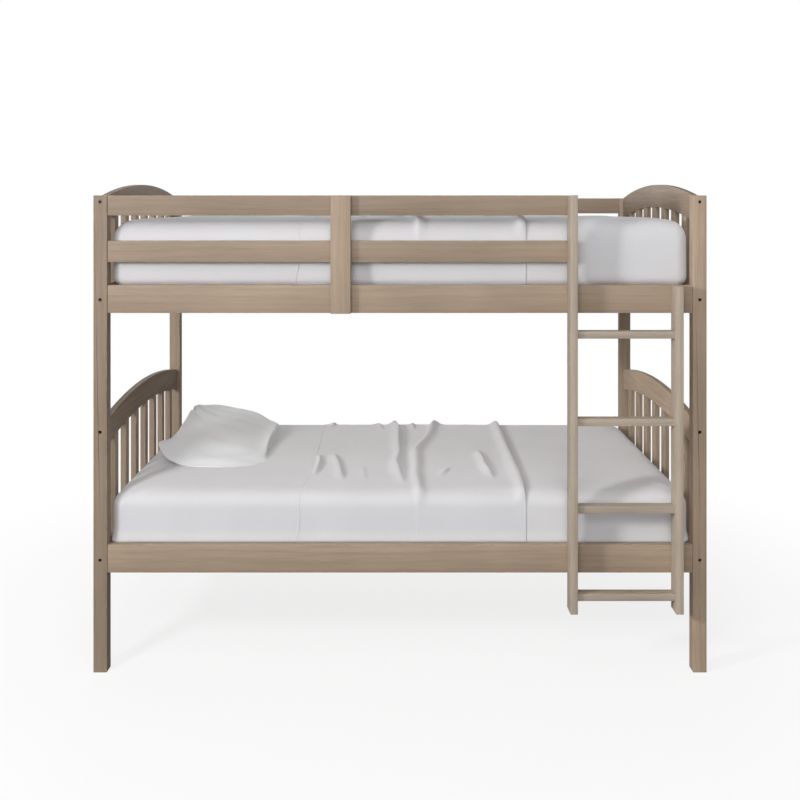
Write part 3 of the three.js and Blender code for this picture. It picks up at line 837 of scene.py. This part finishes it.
def slab_mesh(name, low, high, corner, top, bottom, squareness, cell):
    """A closed slab of even quads, its edges drawn in as parts of ellipses."""
    size = high - low
    counts = [max(6, round(size[axis] / cell)) for axis in range(3)]
    inner_low = Vector((low.x + corner, low.y + corner, low.z + bottom))
    inner_high = Vector((high.x - corner, high.y - corner, high.z - top))
    index, points, faces = {}, [], []

    def point_at(key):
        if key not in index:
            spot = Vector([low[axis] + size[axis] * key[axis] / counts[axis] for axis in range(3)])
            core = Vector([min(max(spot[axis], inner_low[axis]), inner_high[axis]) for axis in range(3)])
            away = spot - core
            radii = (corner, corner, top if away.z > 0 else bottom)
            scaled = Vector([away[axis] / radii[axis] for axis in range(3)])
            power = 2.0 if away.z > 0 else squareness
            flat = math.hypot(scaled.x, scaled.y)
            scaled /= (flat ** power + abs(scaled.z) ** power) ** (1 / power)
            index[key] = len(points)
            points.append(core + Vector([scaled[axis] * radii[axis] for axis in range(3)]))
        return index[key]

    for axis in range(3):
        first, second = (axis + 1) % 3, (axis + 2) % 3
        for end in (0, counts[axis]):
            for i in range(counts[first]):
                for j in range(counts[second]):
                    quad = []
                    for di, dj in ((0, 0), (1, 0), (1, 1), (0, 1)):
                        key = [0, 0, 0]
                        key[axis], key[first], key[second] = end, i + di, j + dj
                        quad.append(point_at(tuple(key)))
                    faces.append(quad if end else quad[::-1])
    return smooth_mesh(name, points, faces)


def make_mattress(bunk, sheet_cotton, ticking):
    node = f"{bunk}_mattress"
    name = f"{bunk}_fitted_sheet"
    low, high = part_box(node)
    corner, top, bottom = MATTRESS_SHAPES[bunk]
    inset = Vector((SWELL, SWELL, 0.0))
    start_low = low + inset + Vector((0, 0, 0.001))
    start_high = high - inset - Vector((0, 0, SWELL))
    mesh = slab_mesh(name, start_low, start_high, corner, top - SWELL, bottom, BOTTOM_SQUARENESS[bunk],
                     MATTRESS_CELL)
    obj = link_mesh(name, mesh, sheet_cotton, node)
    start = coordinates(mesh)
    half = (start_high - start_low) / 2
    middle = (start_high + start_low) / 2
    local = start - np.array(middle)
    _, _, reach, gap = edge_gaps(local, half)
    loose = np.clip(1 - reach / SLACK_REACH, 0, 1)
    edge = np.clip(1 - gap / EDGE_SLACK_REACH, 0, 1)
    slack = weigh(obj, "slack", np.maximum(loose, EDGE_SLACK * edge))
    pinned = weigh(obj, "held", (local[:, 2] < -half.z + 0.002).astype(float))
    run_cloth(obj, 22, mass=0.3, stretch=20.0, bend=0.15, pressure=3.0, pins=pinned, slack=slack)
    obj.vertex_groups.clear()
    moved = coordinates(obj.data) - start
    length = np.linalg.norm(moved, axis=1, keepdims=True)
    moved *= SWELL * np.tanh(length / SWELL) / np.maximum(length, 1e-9)
    final = start + moved
    final += shape_fitted_sheet(start, local, half, top, bunk)
    final[:, 2] = np.maximum(final[:, 2], low.z)
    move_points(obj.data, final)
    finish_fitted_sheet(obj, local, half, ticking)
    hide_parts(node)
    return obj


def edge_gaps(local, half):
    """Each point's distance from the mattress's ends, sides, corners and nearest edge, seen from above."""
    near_x = half.x - np.abs(local[:, 0])
    near_y = half.y - np.abs(local[:, 1])
    return near_x, near_y, np.sqrt(near_x ** 2 + near_y ** 2), np.minimum(near_x, near_y)


def shape_fitted_sheet(start, local, half, top, bunk):
    """Small moves on top of the simulation."""
    moves = np.zeros_like(start)
    near_x, near_y, reach, inset = edge_gaps(local, half)
    # Lying hollows, and edges worn down by sitting
    upper = np.clip((local[:, 2] - (half.z - top)) / top, 0, 1)
    broad = ripple(start, 0.55, 3.7) * 0.0020 + ripple(start, 0.19, 8.1) * 0.0007
    moves[:, 2] += upper * (broad + CROWN)
    for distance, dip in ((local[:, 1] + half.y, FRONT_DIP[bunk]), (near_x, END_DIP[bunk])):
        moves[:, 2] -= upper * dip * np.clip(1 - distance / DIP_REACH, 0, 1) ** 2
    # Full lower edges
    height = local[:, 2] + half.z
    fullness = np.clip(1 - height / FULL_HEIGHT, 0, 1) * SWELL
    fullness += np.clip(1 - height / FOOT_HEIGHT, 0, 1) * FOOT_PUSH[bunk]
    for axis in (X, Y):
        moves[:, axis] += fullness * local[:, axis] / half[axis]
    # Drawn corners
    around = np.arctan2(near_y + 0.02, near_x + 0.02)
    pulls = np.cos(around * PULL_COUNT + 0.8 * np.sin(reach * 31))
    pulls *= np.exp(-((reach - PULL_PLACE) / PULL_SPREAD) ** 2)
    moves[:, 2] += upper * pulls * PULL_HEIGHT
    # Gathers along the elastic hem, and the bare underside a little above it
    under = (height < UNDERSIDE_DEPTH).astype(float)
    along = np.where(near_x < near_y, local[:, 1], local[:, 0])
    gather = np.sin(along * 190 + 2.2 * np.sin(along * 23)) * np.exp(-((inset - HEM_WIDTH) / 0.03) ** 2)
    moves[:, 2] += under * (GATHER_HEIGHT + GATHER_HEIGHT * gather)
    moves[:, 2] += under * np.where(inset > HEM_WIDTH, BARE_LIFT, 0.0)
    return moves


def finish_fitted_sheet(obj, local, half, ticking):
    """The bare underside inside the sheet's elastic hem gets the mattress's own cloth."""
    mesh = obj.data
    mesh.materials.append(ticking)
    inset = edge_gaps(local, half)[3]
    bare = (local[:, 2] < -half.z + UNDERSIDE_DEPTH) & (inset > HEM_WIDTH - 0.002)
    for face in mesh.polygons:
        if all(bare[index] for index in face.vertices):
            face.material_index = 1
    smooth_surface(obj)


# ---- flat sheets laid across the beds

BAND_CELL = 0.005
BAND_LIFT = 0.0008
BAND_THICKNESS = 0.0005
TUCK_DEPTH = 0.022
HEM_GAP = 0.0003
HEM_THICKNESS = 0.0005
# The rays that find the mattress start this far outside it
RAY_START = 0.05
RAY_LENGTH = 0.12

# Lines across the bed, as (x, depth behind the posts' front): the sheet's edges, then each fold with
# its height, its width and its steeper side
LEFT_EDGE = [(-0.328, 1.018), (-0.319, 0.468), (-0.317, 0.224), (-0.335, 0.089), (-0.342, 0.0)]
RIGHT_EDGE = [(0.424, 1.018), (0.420, 0.731), (0.419, 0.392), (0.419, 0.165), (0.420, 0.05), (0.423, 0.0)]
FOLDS = [
    ([(-0.020, 1.018), (-0.002, 0.653), (-0.011, 0.347), (0.006, 0.146)], 0.024, 0.021, 1),
    ([(0.155, 1.018), (0.123, 0.813), (0.085, 0.602), (0.057, 0.482), (0.052, 0.347), (0.060, 0.146),
      (0.060, 0.0)], 0.021, 0.024, -1),
    ([(-0.300, 0.455), (-0.292, 0.372), (-0.300, 0.200)], 0.015, 0.013, 1),
    ([(-0.250, 0.458), (-0.222, 0.347), (-0.205, 0.156)], 0.018, 0.020, 1),
    ([(0.181, 0.284), (0.147, 0.184)], 0.010, 0.016, 1),
    ([(0.303, 0.505), (0.302, 0.306), (0.325, 0.176)], 0.018, 0.017, 1),
    ([(-0.285, 1.018), (-0.292, 0.900)], 0.012, 0.020, 1),
    ([(-0.095, 1.018), (-0.080, 0.860)], 0.007, 0.020, 1),
    ([(0.062, 1.018), (0.058, 0.870)], 0.009, 0.016, 1),
    ([(-0.140, 0.300), (-0.120, 0.150)], 0.006, 0.024, 1),
]
EDGE_FOLD_HEIGHT = 0.017
EDGE_FOLD_WIDTH = 0.019
# How much of a fold's height is left where the sheet hangs at the front, beside a pressed crease
FRONT_FOLD_SHARE = 0.02
CREASE_PLACE = 0.060
CREASE_HEIGHT = 0.0010
CREASE_WIDTH = 0.006


def along_line(line, depth):
    """The x of a line at each depth, and how much of the line covers it, fading at its ends."""
    depths = np.array([spot[1] for spot in line][::-1])
    places = np.array([spot[0] for spot in line][::-1])
    covered = np.ones_like(depth)
    fade = 0.12 * (depths[-1] - depths[0]) + 0.03
    if depths[0] > 0.001:
        covered *= np.clip((depth - depths[0]) / fade + 0.35, 0, 1)
    if depths[-1] < 1.0:
        covered *= np.clip((depths[-1] - depth) / fade + 0.35, 0, 1)
    return np.interp(depth, depths, places), covered ** 1.5


def fold_height(x, depth):
    """How high the folds stand at each point of the sheet."""
    height = np.zeros_like(x)
    for number, (line, tall, wide, steep) in enumerate(FOLDS):
        middle, covered = along_line(line, depth)
        sway = 0.004 * np.sin(depth * 17 + number * 1.7)
        offset = x - middle - sway
        side = np.where(offset * steep > 0, 0.40, 1.0) * wide
        vary = 0.88 + 0.12 * np.sin(depth * 11 + number * 2.3)
        height += tall * covered * vary * np.exp(-(offset / side) ** 2)
    return height


def mattress_profile(low, high, corner, top, drop):
    """Points from low on the front face, over the top, to low on the back face, each as
    (y, z, outward y, outward z)."""
    spots = []
    flat_low, flat_high = low.y + corner, high.y - corner
    crown = high.z - top
    rise = crown - drop
    steps = max(2, round(rise / BAND_CELL))
    for step in range(steps + 1):
        spots.append((low.y, drop + rise * step / steps, -1.0, 0.0))
    arc = max(6, round(math.pi * (corner + top) / 4 / BAND_CELL))
    for step in range(1, arc):
        angle = math.pi / 2 * step / arc
        spots.append((flat_low - corner * math.cos(angle), crown + top * math.sin(angle),
                      -math.cos(angle), math.sin(angle)))
    span = flat_high - flat_low
    count = round(span / BAND_CELL)
    for step in range(count + 1):
        spots.append((flat_low + span * step / count, high.z, 0.0, 1.0))
    mirror = [(low.y + high.y - y, z, -ny, nz) for y, z, ny, nz in spots[:-(count + 1)]]
    return spots + mirror[::-1]


def band_points(surface, profile, crown, columns):
    """The sheet's points on the mattress's surface, row by row from its front edge to its back edge."""
    depth = np.clip(profile[:, 0] - POST_FRONT, 0, None)
    left, _ = along_line(LEFT_EDGE, depth)
    right, _ = along_line(RIGHT_EDGE, depth)
    share = np.linspace(0, 1, columns)
    points = []
    for row, (y, z, ny, nz) in enumerate(profile):
        front = ny < -0.5
        hang = max(0.0, crown - z) if front else 0.0
        swing = 0.006 * math.sin(hang * 31) - 0.10 * hang * (1 - hang * 4)
        x = left[row] + swing * (1 - share) + (right[row] - left[row]) * share
        heights = fold_height(x, np.full_like(x, depth[row]))
        heights += np.exp(-((x - x[-1]) / EDGE_FOLD_WIDTH + 0.6) ** 2) * EDGE_FOLD_HEIGHT
        heights *= FRONT_FOLD_SHARE + (1 - FRONT_FOLD_SHARE) * max(0.0, nz) ** 1.5
        heights += BAND_LIFT + front * CREASE_HEIGHT * np.exp(-((x - CREASE_PLACE) / CREASE_WIDTH) ** 2)
        for across, lift in zip(x, heights):
            outer = Vector((across, y + ny * RAY_START, z + nz * RAY_START))
            found, spot, _, _ = surface.ray_cast(outer, Vector((0.0, -ny, -nz)), distance=RAY_LENGTH)
            if not found:
                spot = Vector((across, y, z))
            points.append((across, spot.y + ny * lift, spot.z + nz * lift))
    return points


def make_band(bunk, mattress, sheet_cotton):
    """A folded flat sheet laid across a bed, front to back, and tucked behind the rails."""
    low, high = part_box(f"{bunk}_mattress")
    corner, top, _ = MATTRESS_SHAPES[bunk]
    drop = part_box(f"{bunk}_front_side_rail")[1].z - TUCK_DEPTH
    profile = np.array(mattress_profile(low, high, corner, top, drop))
    surface = mattress.evaluated_get(bpy.context.evaluated_depsgraph_get())
    rows = len(profile)
    columns = round((RIGHT_EDGE[0][0] - LEFT_EDGE[0][0]) / BAND_CELL) + 1
    points = band_points(surface, profile, high.z - top, columns)
    mesh = smooth_mesh(f"{bunk}_flat_sheet", points, grid_faces(rows, columns))
    spots = coordinates(mesh)
    fine = ripple(spots, 0.07, 5.5) * 0.0010 + ripple(spots, 0.024, 2.2) * 0.0003
    outward = np.repeat(profile[:, 2:4], columns, axis=0)
    keep = np.clip(outward[:, 1], 0.06, 1.0)
    spots[:, 1] += outward[:, 0] * np.maximum(fine, -0.0004) * keep
    spots[:, 2] += outward[:, 1] * np.maximum(fine, -0.0006) * keep
    move_points(mesh, spots)
    band = link_mesh(f"{bunk}_flat_sheet", mesh, sheet_cotton, f"{bunk}_mattress")
    thicken(band, BAND_THICKNESS, 1.0)
    hems = make_hems(bunk, spots.reshape(rows, columns, 3), profile[:, 2:4], sheet_cotton)


def make_hems(bunk, grid, outward, material):
    """The doubled edges of a flat sheet."""
    hems = []
    lift = BAND_THICKNESS + HEM_GAP
    for side, columns in (("left", slice(0, 2)), ("right", slice(-2, None))):
        points = []
        for row, (ny, nz) in zip(grid, outward):
            points += [(x, y + ny * lift, z + nz * lift) for x, y, z in row[columns]]
        name = f"{bunk}_{side}_sheet_hem"
        mesh = smooth_mesh(name, points, grid_faces(len(grid), 2))
        hem = link_mesh(name, mesh, material, f"{bunk}_mattress")
        thicken(hem, HEM_THICKNESS, -1.0)
        hems.append(hem)
    return hems


# ---- pillow

# Sizes in metres. The lifts are heights of the seam before the pillow is scaled to its box, and the
# pull is where the head edge is gathered, from -1 at the side that faces the room to 1 at the wall
PILLOW_FLAT = (0.508, 0.690)
PILLOW_CELL = 0.0095
PILLOW_VOLUME = 0.018
PILLOW_HEAD_LIFT = 0.088
PILLOW_FOOT_LIFT = 0.009
PILLOW_UPPER = 0.070
PILLOW_UNDER = 0.075
PILLOW_BOW = 0.075
PILLOW_PULL = 0.60
PILLOW_GATHERS = 11
PILLOW_GATHER_REACH = 0.14
PILLOW_GATHER_HEIGHT = 0.0110


def pillow_mesh(middle):
    """Two layers that share their rim and bow in along the sides, and which points are on the rim."""
    across = round(PILLOW_FLAT[0] / PILLOW_CELL)
    along = round(PILLOW_FLAT[1] / PILLOW_CELL)
    points, faces, index = [], [], {}

    def point_at(i, j, layer):
        key = (i, j, 0 if i in (0, across) or j in (0, along) else layer)
        if key not in index:
            u, v = i / across, j / along
            across_bow, along_bow = math.sin(math.pi * v), math.sin(math.pi * u)
            x = PILLOW_FLAT[0] * (u - 0.5) * (1 - PILLOW_BOW + PILLOW_BOW * across_bow)
            y = PILLOW_FLAT[1] * (v - 0.5) * (1 - PILLOW_BOW + PILLOW_BOW * along_bow)
            lumps = noise.noise(Vector((u * 5, v * 7, layer * 3.3))) * 0.003
            rise = (layer * 0.025 + lumps) * across_bow * along_bow
            index[key] = len(points)
            points.append(tuple(middle + Vector((x, y, rise))))
        return index[key]

    for layer in (1, -1):
        for i in range(across + 1):
            for j in range(along + 1):
                point_at(i, j, layer)
    for layer in (1, -1):
        for i in range(across):
            for j in range(along):
                quad = [point_at(i + di, j + dj, layer) for di, dj in ((0, 0), (1, 0), (1, 1), (0, 1))]
                faces.append(quad if layer > 0 else quad[::-1])
    seam = np.zeros(len(points), dtype=bool)
    seam[[number for key, number in index.items() if key[2] == 0]] = True
    return smooth_mesh("pillow_case", points, faces), seam


def make_pillow(pillow_cotton):
    """A cushion of two sewn layers, blown up by simulation, its head edge higher than its foot."""
    low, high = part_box("pillow")
    mesh, seam = pillow_mesh((low + high) / 2)
    obj = link_mesh("pillow_case", mesh, pillow_cotton, "pillow")
    run_cloth(obj, 25, mass=0.2, stretch=12.0, bend=0.05, volume=PILLOW_VOLUME)
    spots = coordinates(obj.data)
    relax(obj.data, spots, seam, 22)
    lay_pillow(spots, low, high)
    move_points(obj.data, spots)
    crease_seam(obj.data, seam)
    smooth_surface(obj)
    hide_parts("pillow")
    return obj


def lay_pillow(spots, low, high):
    """Lays the blown-up cushion on the bed: flat underneath, its seam high at the head edge,
    and low along the foot and along the side that faces the room."""
    least, most = spots.min(axis=0), spots.max(axis=0)
    share = (spots - least) / (most - least)
    full = 2 * share[:, 2] - 1
    u, v = share[:, 0], 2 * share[:, 1] - 1
    # The seam drops from the head edge to the foot, and faster near the side that faces the room
    nearness = np.clip((-v - 0.50) / 0.50, 0, 1)
    steepness = 1.25 + 12.0 * nearness ** 2.2
    seam = PILLOW_FOOT_LIFT * (1 - u) + PILLOW_HEAD_LIFT * (1 - u) ** steepness
    # The filling over and under the seam, thin towards the foot and the near side
    footness = np.clip((u - 0.40) / 0.60, 0, 1)
    flattened = (1 + 1.3 * footness) * (1 - 0.55 * np.clip(v, 0, 1) ** 2)
    ramp = 0.32 + 0.68 * np.clip((v + 1) / 1.5, 0, 1)
    lift = seam + np.where(full > 0, PILLOW_UPPER * ramp * np.abs(full) ** flattened, PILLOW_UNDER * full)
    lift *= 1 - 0.10 * (1 - v) * footness ** 2 * (3 - 2 * footness)
    # Gathers that fan out from one place on the head edge
    along, across = u * (high.x - low.x), (PILLOW_PULL - v) / 2 * (high.y - low.y)
    reach = np.hypot(along, across)
    gathers = np.sin(np.arctan2(across, along) * PILLOW_GATHERS)
    gathers *= np.clip(reach / 0.04, 0, 1) * np.exp(-(reach / PILLOW_GATHER_REACH) ** 4)
    lift += np.clip(full * 5, 0, 1) * PILLOW_GATHER_HEIGHT * gathers
    lift = np.maximum(lift, 0.0)
    spots[:, 0] = low.x + share[:, 0] * (high.x - low.x)
    spots[:, 1] = low.y + share[:, 1] * (high.y - low.y)
    spots[:, 2] = low.z + lift * (high.z - low.z) / lift.max()


def relax(mesh, points, seam, rounds):
    """Evens out small crumples. The seam's points only follow the seam's own line."""
    edges = np.array([edge.vertices[:] for edge in mesh.edges])
    on_seam = seam[edges].all(axis=1)
    for moving, used in ((~seam, edges), (seam, edges[on_seam])):
        both = np.concatenate([used, used[:, ::-1]])
        counts = np.maximum(np.bincount(both[:, 0], minlength=len(points)), 1)[:, None]
        for _ in range(rounds):
            total = np.zeros_like(points)
            np.add.at(total, both[:, 0], points[both[:, 1]])
            points[moving] += 0.5 * (total / counts - points)[moving]


def crease_seam(mesh, seam):
    """Keeps the sewn edge sharp when the surface is smoothed."""
    creases = mesh.attributes.new("crease_edge", "FLOAT", "EDGE")
    values = [0.6 if seam[edge.vertices[0]] and seam[edge.vertices[1]] else 0.0 for edge in mesh.edges]
    creases.data.foreach_set("value", values)


# ---- camera, light and floor

def make_camera():
    data = bpy.data.cameras.new("camera")
    data.sensor_width = CAMERA_SENSOR
    data.lens = CAMERA_LENS
    data.shift_y = CAMERA_SHIFT
    data.clip_end = 100.0
    camera = add_object("camera", data)
    camera.location = (0.0, POST_FRONT - CAMERA_DISTANCE, CAMERA_HEIGHT)
    camera.rotation_euler = (math.pi / 2, 0.0, 0.0)
    bpy.context.scene.camera = camera


def add_area(name, place, width, height, share):
    """A soft box that gives the bed's middle about that share of a full exposure."""
    data = bpy.data.lights.new(name, "AREA")
    data.shape = "RECTANGLE"
    data.size, data.size_y = width, height
    beam = Vector((0.0, BED_MIDDLE, LIT_HEIGHT)) - Vector(place)
    data.energy = share * math.pi ** 2 * beam.length ** 2
    lamp = add_object(name, data)
    lamp.location = place
    lamp.rotation_euler = beam.to_track_quat("-Z", "Y").to_euler()


def add_key():
    """A small lamp at the left whose light doesn't weaken along the bed."""
    data = bpy.data.lights.new("key", "POINT")
    data.energy = KEY * math.pi * 4 * math.pi
    data.shadow_soft_size = KEY_RADIUS
    data.use_nodes = True
    tree = data.node_tree
    falloff = add_node(tree, "ShaderNodeLightFalloff", {"Strength": 1.0})
    tree.links.new(falloff.outputs["Constant"], tree.nodes["Emission"].inputs["Strength"])
    add_object("key", data).location = KEY_PLACE


def make_light():
    world = bpy.data.worlds.new("studio")
    bpy.context.scene.world = world
    world.use_nodes = True
    tree = world.node_tree
    tree.nodes.clear()
    lit = add_node(tree, "ShaderNodeBackground", {"Color": (1, 1, 1, 1), "Strength": AMBIENT})
    seen = add_node(tree, "ShaderNodeBackground", {"Color": (1, 1, 1, 1), "Strength": 1.0})
    path = add_node(tree, "ShaderNodeLightPath")
    both = add_node(tree, "ShaderNodeMixShader", {
        0: path.outputs["Is Camera Ray"], 1: lit.outputs[0], 2: seen.outputs[0],
    })
    out = add_node(tree, "ShaderNodeOutputWorld")
    tree.links.new(both.outputs[0], out.inputs["Surface"])
    add_key()
    for name, (place, width, height, share) in FILLS.items():
        add_area(name, place, width, height, share)


def make_floor():
    """A pale floor that fades into the white surround away from the bed."""
    corners = [(x * FLOOR_REACH, y * FLOOR_REACH, 0.0) for x, y in ((-1, -1), (1, -1), (1, 1), (-1, 1))]
    mesh = bpy.data.meshes.new("floor")
    mesh.from_pydata(corners, [], [(0, 1, 2, 3)])
    floor = add_object("floor", mesh)
    floor.location.z = -FLOOR_DROP
    material, tree, shader = new_material("studio_floor")
    place = object_place(tree)
    shade = spread(tree, noise_at(tree, place, 60.0, 3.0), 0.3, 0.7, 0.855, 0.875)
    set_inputs(tree, shader, {
        "Base Color": grey(tree, shade), "Roughness": 0.9, "Specular IOR Level": 0.0,
    })
    distance = add_node(tree, "ShaderNodeVectorMath", {0: place}, operation="LENGTH").outputs["Value"]
    away = spread(tree, distance, *FLOOR_FADE, FLOOR_WHITE, 1.0)
    path = add_node(tree, "ShaderNodeLightPath")
    glow = spread(tree, path.outputs["Is Camera Ray"], 0.0, 1.0, FLOOR_GLOW, 1.0)
    white = add_node(tree, "ShaderNodeEmission", {"Color": (1, 1, 1, 1), "Strength": glow})
    both = add_node(tree, "ShaderNodeMixShader", {0: away, 1: shader.outputs[0], 2: white.outputs[0]})
    tree.links.new(both.outputs[0], tree.nodes["Material Output"].inputs["Surface"])
    floor.data.materials.append(material)


# ---- build

bpy.context.scene.view_settings.view_transform = "Standard"
make_camera()
make_light()
make_floor()
sheet_cotton = cloth("sheet_cotton", SHEET_WHITE)
ticking = cloth("mattress_ticking", TICKING, thread=0.0016, bump_strength=0.4)
for bunk in BUNKS:
    mattress = make_mattress(bunk, sheet_cotton, ticking)
    make_band(bunk, mattress, sheet_cotton)
make_pillow(cloth("pillow_cotton", PILLOW_WHITE))
shading = clean_shading()
dress_timber(shading)
dress_cleats(shading)
make_end_panels()
make_slats()
make_fasteners(shading)
